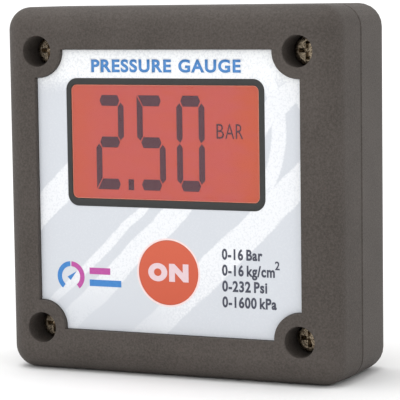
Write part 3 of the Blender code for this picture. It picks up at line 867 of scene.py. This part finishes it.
def label(look):
    """The printed film in its pocket, with holes for the display's frame and the button."""
    back = LABEL_Y + LABEL_THICK
    sections = [
        (pocket_outline(-LABEL_FIT - LABEL_ROUND), LABEL_Y),
        (pocket_outline(-LABEL_FIT), LABEL_Y + LABEL_ROUND),
        (pocket_outline(-LABEL_FIT), back),
    ]
    made = skin("label_film", sections)
    before, behind = LABEL_Y - BEYOND, back + BEYOND
    cutters = [
        slab("window_hole", bezel_outline(-HOLE_FIT), before, behind),
        drill("disc_hole", DISC + HOLE_FIT, before, behind, BUTTON_CENTRE, 96),
    ]
    combined(made, "DIFFERENCE", cutters)
    return finished(made, "case", look, "label_print", "label_overlay")


def halo_ring(look):
    """The pale ring printed round the button."""
    inner = circle(DISC + HOLE_FIT, BUTTON_CENTRE, 97)
    outer = circle(HALO, BUTTON_CENTRE, 97)
    made = film("print_halo", hoop_strips(outer, inner), LABEL_Y)
    return finished(made, "case", look, "label_print")


def header(halo, ink):
    """The plain heading, with its pale shadow behind it."""
    words = "PRESSURE GAUGE"
    cap = 2.4 * MM
    wider, lower = 0.2 * MM, 0.16 * MM
    low, high, base = line_on_label(-15.3, 15.1, 22.65)
    shadow = lettering(
        "print_heading_halo",
        words,
        low - wider,
        high + wider,
        base - lower,
        cap + 2 * lower,
        LABEL_Y,
        0.045,
        1.13,
    )
    finished(shadow, "case", halo, "label_print")
    front = lettering("print_heading", words, low, high, base, cap, LABEL_Y - INK, 0.032, 1.13)
    finished(front, "case", ink, "label_print")


def unit_ranges(ink):
    """The four measuring ranges, one under the other."""
    full, raised = 2.05 * MM, 1.6 * MM
    plain, small = (0.033, 1.1, 0.55), (0.02,)
    rows = (
        ("range_1", "0-16 Bar", 11.05, 19.0, -12.02, full, plain),
        ("range_2", "0-16 kg/cm", 11.05, 21.45, -15.0, full, plain),
        ("range_3", "0-232 Psi", 11.05, 19.9, -17.98, full, plain),
        ("range_4", "0-1600 kPa", 11.05, 21.75, -20.95, full, plain),
        ("range_square", "2", 21.6, 22.45, -13.55, raised, small),
    )
    parts = []
    for name, words, start, end, base_z, cap, style in rows:
        line = line_on_label(start, end, base_z)
        parts.append(lettering(name, words, *line, cap, LABEL_Y, *style))
    finished(joined("print_ranges", parts), "case", ink, "label_print")


def dial_symbol(upper, lower):
    """A plain dial, open at the bottom, with its needle, and two bars beside it."""

    def printed(name, outlines, look):
        finished(film(name, outlines, LABEL_Y), "case", look, "label_print")

    centre = at_label(-20.6, -16.5)
    radius = 2.9 * MM
    width = 0.95 * MM
    sweep = -139.0
    for name, start, look in (("left", 232.0, lower), ("right", 87.0, upper)):
        outer = arc(centre, radius, start, sweep, 28)
        inner = arc(centre, radius - width, start, sweep, 28)
        printed(f"print_dial_{name}", ribbon(outer, inner), look)
    corners = ((1.2, 1.0), (-0.75, -0.1), (-0.1, -0.75))
    needle = [(centre[0] + x * MM, centre[1] + z * MM) for x, z in corners]
    printed("print_dial_needle", [needle], lower)
    bar_start, bar_height = -16.6, 1.25
    for name, end, height, look in (("upper", -12.2, -15.9, upper), ("lower", -9.9, -18.2, lower)):
        low = at_label(bar_start, height)
        high = at_label(end, height + bar_height)
        bar = [low, (high[0], low[1]), high, (low[0], high[1])]
        printed(f"print_dial_bar_{name}", [bar], look)


# ---------------------------------------------------------------- display


def bezel(look):
    """The display's frame: one ring with softly rounded front edges."""
    front = BEZEL[0].y
    back = BEZEL[1].y
    soft = 0.12 * MM
    sections = [
        (bezel_outline(0.0), back),
        (bezel_outline(0.0), front + soft),
        (bezel_outline(0.3 * soft), front + 0.3 * soft),
        (bezel_outline(soft), front),
        (lcd_outline(-soft), front),
        (lcd_outline(-0.3 * soft), front + 0.3 * soft),
        (lcd_outline(0.0), front + soft),
        (lcd_outline(0.0), back),
    ]
    ring = skin("display_frame", sections, ring=True)
    finished(ring, "case", look, "bezel_grey", "display_bezel")


def display_face(look, clear, edge):
    """The lit glass, a painted highlight line along its edge and the clear film over it."""
    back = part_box("lcd_glass")[1].y
    inside = lcd_outline(0.02 * MM)
    outer, inner = lcd_outline(0.03 * MM), lcd_outline(0.15 * MM)
    line = film("display_edge", hoop_strips(outer, inner), LCD_Y)
    finished(line, "case", edge, "lcd_red")
    finished(slab("display_glass", inside, LCD_Y, back), "case", look, "lcd_red", "lcd_glass")
    cover = slab("display_cover", inside, LABEL_Y, LABEL_Y + WINDOW_THICK)
    finished(cover, "case", clear, "clear_window", "display_window")


def segment_shapes(digit, left, mitre, wide=5.85):
    """The outlines of a digit's lit segments, in millimetres from the label's middle.

    The mitre names the end, top or bottom, whose left corner is cut slantwise instead of pointed.
    """
    stroke, bar = 1.21, 2.05
    low, high = 0.47, 18.35
    middle = (low + high) / 2 + 0.06
    tip, shoulder = 0.84, 1.3
    point, side_point = 0.85, 0.75
    to_top, to_bottom = 1.4, 1.35
    corner, cut = 0.22, 0.15
    lit = {"0": "abcdef", "2": "abged", "5": "afgcd"}[digit]

    def level(centre):
        top, bottom = centre + bar / 2, centre - bar / 2
        return [
            (tip, centre),
            (shoulder, top),
            (wide - shoulder, top),
            (wide - tip, centre),
            (wide - shoulder, bottom),
            (shoulder, bottom),
        ]

    def upright(bottom, top):
        return [
            (stroke / 2, top),
            (stroke, top - point),
            (stroke, bottom + point),
            (stroke / 2 + 0.1, bottom),
            (0.0, bottom + side_point),
            (0.0, top - side_point),
        ]

    def mirrored(points):
        return [(wide - x, z) for x, z in points]

    gap = 0.32 if "g" in lit else 0.06
    upper = upright(middle + gap, high - to_top)
    lower = upright(low + to_bottom, middle - gap)
    shapes = {
        "a": level(high - bar / 2),
        "g": level(middle),
        "d": level(low + bar / 2),
        "f": upper,
        "b": mirrored(upper),
        "e": lower,
        "c": mirrored(lower),
    }
    if mitre == "top":
        shapes["a"][0:2] = [(corner, high)]
        shapes["a"][-1] = (shoulder, high - bar)
        shapes["f"][0:2] = [(0.0, high - 0.1), (stroke, high - bar - cut)]
        del shapes["f"][-1]
    if mitre == "bottom":
        shapes["d"][0] = (corner, low)
        shapes["d"][1] = (shoulder, low + bar)
        del shapes["d"][-1]
        shapes["e"][2:5] = [(stroke, low + bar + cut), (0.0, low + 0.1)]
    return [[at_label(left + x, z) for x, z in shapes[key]] for key in lit]


def display_digits(ink):
    """The reading with its decimal point, and the unit beside it."""
    outlines = segment_shapes("2", -14.7, "bottom")
    outlines += segment_shapes("5", -6.1, "top")
    outlines += segment_shapes("0", 2.06, None, 5.7)
    point = ((-8.06, 0.42), (-6.9, 0.42), (-6.9, 2.5), (-8.06, 2.5))
    outlines.append([at_label(x, z) for x, z in point])
    finished(film("display_digits", outlines, LCD_Y), "case", ink, "lcd_red")
    letters = (("B", 10.15, 11.65), ("A", 11.9, 13.7), ("R", 14.0, 15.5))
    base_z, cap = 10.45, 2.75 * MM
    parts = []
    for number, (letter, start, end) in enumerate(letters, 1):
        line = line_on_label(start, end, base_z)
        parts.append(lettering(f"unit_{number}", letter, *line, cap, LCD_Y))
    finished(joined("display_unit", parts), "case", ink, "lcd_red")


# ---------------------------------------------------------------- button


def oval(centre, half_x, half_z, steps=48):
    """A closed list of steps + 1 points, the last on the first."""
    points = []
    for i in range(steps + 1):
        angle = 2 * math.pi * i / steps
        points.append((centre[0] + half_x * math.cos(angle), centre[1] + half_z * math.sin(angle)))
    return points


def push_button(look, ink):
    """The cap, very slightly crowned, with its flange and stem, and the raised word on it."""
    proud, crown, flat, edge = 0.03 * MM, 0.02 * MM, 0.5 * MM, 0.07 * MM
    rings = 6
    face = LABEL_Y - proud
    flange = BUTTON[0].y + BUTTON_CAP
    under = flange + BUTTON_FLANGE
    outer = (BUTTON[1].x - BUTTON[0].x) / 2
    profile = [(flat, face)]
    for i in range(1, rings + 1):
        profile.append((DISC * i / rings - crown, face + crown * (i / rings) ** 2))
    profile += [
        (DISC, face + edge),
        (DISC, flange),
        (outer, flange),
        (outer, under),
        (BUTTON_STEM, under),
        (BUTTON_STEM, BUTTON[1].y),
    ]
    cap = turned("button_cap", profile, BUTTON_CENTRE, 96)
    finished(cap, "button", look, "button_orange", "on_button")

    def at_button(x, z):
        return (BUTTON_CENTRE[0] + x * MM, BUTTON_CENTRE[1] + z * MM)

    middle = at_button(-2.2, 0.02)
    letter_o = ribbon(oval(middle, 1.98 * MM, 1.74 * MM), oval(middle, 0.78 * MM, 0.72 * MM))
    letter_n = [
        (0.15, -1.68),
        (1.35, -1.68),
        (1.35, 0.1),
        (3.1, -1.68),
        (4.15, -1.68),
        (4.15, 1.72),
        (2.98, 1.72),
        (2.98, 0.05),
        (1.25, 1.72),
        (0.15, 1.72),
    ]
    word = film("button_word", letter_o + [[at_button(x, z) for x, z in letter_n]], face)
    finished(word, "button", ink, "button_orange")


# ---------------------------------------------------------------- back


def pressure_port(look):
    """Stem, hexagon with turned corners, neck and a true helical pipe thread."""
    hex_front = BACK_Y + HEX_GAP
    hex_back = hex_front + HEX_THICK
    hexagon = arc(PORT_CENTRE, HEX_FLATS / math.sqrt(3), 30, 300, 5)
    nut = slab("port_nut_face", hexagon, hex_front, hex_back)
    narrow, wide = HEX_FLATS / 2 - 0.7 * MM, HEX_FLATS / 2 + 1.6 * MM
    past, deep = 0.2 * MM, 1.0 * MM
    rounding = [
        (narrow, hex_front - past),
        (wide, hex_front + deep),
        (wide, hex_back - deep),
        (narrow, hex_back + past),
    ]
    combined(nut, "INTERSECT", [turned("corner_turning", rounding, PORT_CENTRE, 96)])
    finished(nut, "case", look, "port_brass", "pressure_port")
    chamfer, sunk = 0.4 * MM, 0.02 * MM
    profile = [(STEM - chamfer, STEM_START), (STEM, STEM_START + chamfer), (STEM, hex_front + sunk)]
    finished(turned("port_stem", profile, PORT_CENTRE, 64), "case", look, "port_brass")
    finished(threaded_end(hex_back), "case", look, "port_brass")


def threaded_end(hex_back):
    """Neck, thread and chamfered mouth as one skin; the crest climbs one pitch each turn."""
    start = hex_back + NECK
    end = PORT[1].y
    root = THREAD_CREST - THREAD_DEPTH
    neck = root - 0.1 * MM
    mouth = 0.5 * MM
    buried = 0.3 * MM  # how far the neck runs into the hexagon
    shoulder = 0.2 * MM  # from the neck to the thread's first ring
    bore_past = 1.2 * MM  # how far the bore runs on before the thread
    round_steps = 72
    steps_per_turn = 8
    along_steps = steps_per_turn * int((end - start) / THREAD_PITCH)
    bm = bmesh.new()

    def ring(y, radius_at):
        verts = []
        for i in range(round_steps):
            angle = 2 * math.pi * i / round_steps
            radius = radius_at(angle)
            x = PORT_CENTRE[0] + radius * math.cos(angle)
            z = PORT_CENTRE[1] + radius * math.sin(angle)
            verts.append(bm.verts.new((x, y, z)))
        return verts

    def thread_radius(y, angle):
        phase = ((y - start) / THREAD_PITCH - angle / (2 * math.pi)) % 1.0
        wave = min(1.0, max(0.0, 1.25 - 3.0 * abs(phase - 0.5)))  # flat crests, straight flanks
        run_in = min(1.0, (y - start) / THREAD_PITCH)
        run_out = min(1.0, max(0.0, (end - y) / (0.9 * THREAD_PITCH)))
        return root + THREAD_DEPTH * wave * max(0.0, run_in * run_out)

    loops = [ring(hex_back - buried, lambda a: neck), ring(start - shoulder, lambda a: neck)]
    for i in range(along_steps + 1):
        y = start + (end - start) * i / along_steps
        loops.append(ring(y, lambda a, y=y: thread_radius(y, a)))
    loops.append(ring(end, lambda a: BORE + mouth))
    loops.append(ring(end - mouth, lambda a: BORE))
    loops.append(ring(start - bore_past, lambda a: BORE))
    for one, other in zip(loops, loops[1:]):
        bridge(bm, one, other)
    bm.faces.new(loops[0])
    bm.faces.new(loops[-1])
    bmesh.ops.recalc_face_normals(bm, faces=bm.faces)
    return placed("port_thread", shaded(mesh_of("port_thread", bm), 38.0))


# ---------------------------------------------------------------- stage


def add_floor():
    """A plain pale floor, wide enough to reach the horizon of every view."""
    mesh = bpy.data.meshes.new("floor")
    half = 40.0
    corners = [(-half, -half, 0), (half, -half, 0), (half, half, 0), (-half, half, 0)]
    mesh.from_pydata(corners, [], [(0, 1, 2, 3)])
    made = placed("floor", mesh)
    look = bpy.data.materials.new("floor_paper")
    look.use_nodes = True
    shader = look.node_tree.nodes["Principled BSDF"]
    shader.inputs["Base Color"].default_value = (0.82, 0.82, 0.82, 1)
    shader.inputs["Roughness"].default_value = 0.9
    mesh.materials.append(look)


def add_sun(name, towards, spread, strength):
    """A soft light from one direction; spread is its angle across, in degrees."""
    data = bpy.data.lights.new(name, "SUN")
    data.energy = strength
    data.angle = math.radians(spread)
    made = placed(name, data)
    made.rotation_mode = "QUATERNION"
    made.rotation_quaternion = Vector(towards).to_track_quat("Z", "Y")


def add_world():
    """Even white light from all round."""
    world = bpy.data.worlds.new("studio")
    world.use_nodes = True
    back = world.node_tree.nodes["Background"]
    back.inputs["Color"].default_value = (1.0, 1.0, 1.0, 1)
    back.inputs["Strength"].default_value = 1.0
    bpy.context.scene.world = world


def add_camera():
    """Long lens, a little to the right of the face and a little above it, with a slight roll."""
    yaw = math.radians(23.925)
    pitch = math.radians(5.79)
    roll = math.radians(-0.782)
    distance = 386.3 * MM
    aim = (6.531 * MM, -1.109 * MM)
    level = math.cos(pitch)
    back = Vector((math.sin(yaw) * level, -math.cos(yaw) * level, math.sin(pitch)))
    right = (-back).cross(Vector((0, 0, 1))).normalized()
    up = right.cross(-back)
    rolled_right = math.cos(roll) * right + math.sin(roll) * up
    rolled_up = -math.sin(roll) * right + math.cos(roll) * up
    face_centre = Vector((MID_X, FACE_Y, MID_Z))
    data = bpy.data.cameras.new("camera")
    data.lens = 186.2
    data.sensor_width = 36.0
    data.clip_start = 0.01
    data.clip_end = 100.0
    made = placed("camera", data)
    turn = Matrix((rolled_right, rolled_up, back)).transposed().to_4x4()
    place = face_centre + back * distance + rolled_right * aim[0] + rolled_up * aim[1]
    made.matrix_world = Matrix.Translation(place) @ turn
    bpy.context.scene.camera = made


def build():
    """The stage, then every piece from the case outwards."""
    bpy.context.scene.view_settings.view_transform = "Standard"
    add_camera()
    add_world()
    add_floor()
    add_sun("top", (-0.2, -0.05, 1.0), 45.0, 1.3)
    add_sun("front", (-0.2, -1.0, 0.3), 60.0, 0.35)

    looks = make_looks()
    paint_cad(looks)
    front_housing(looks["case_plastic"])
    for number, centre in enumerate(SCREW_CENTRES, 1):
        case_screw(number, centre, looks["yellow_zinc"])
    label(looks["label_print"])
    halo_ring(ink_material("ink_pink", (240, 212, 209), (244, 222, 219)))
    shadow = ink_material("ink_shadow", (238, 241, 246), (246, 248, 251))
    header(shadow, ink_material("ink_blue", (66, 128, 194), (92, 150, 208)))
    unit_ranges(ink_material("ink_navy", (58, 60, 74), (84, 88, 102)))
    magenta = ink_material("ink_magenta", (178, 70, 150), (190, 92, 162))
    dial_symbol(magenta, ink_material("ink_cyan", (52, 122, 190), (76, 140, 202)))
    bezel(looks["bezel_grey"])
    # A painted highlight: a pale line along the display's edge, drawn with the ink material.
    edge = ink_material("edge_light", (206, 116, 88), (216, 134, 106))
    display_face(looks["lcd_red"], looks["clear_window"], edge)
    display_digits(ink_material("ink_segments", (78, 47, 57), (88, 55, 62), 0.12))
    word = ink_material("ink_word", (220, 194, 200), (228, 204, 208))
    push_button(looks["button_orange"], word)
    pressure_port(looks["port_brass"])


build()
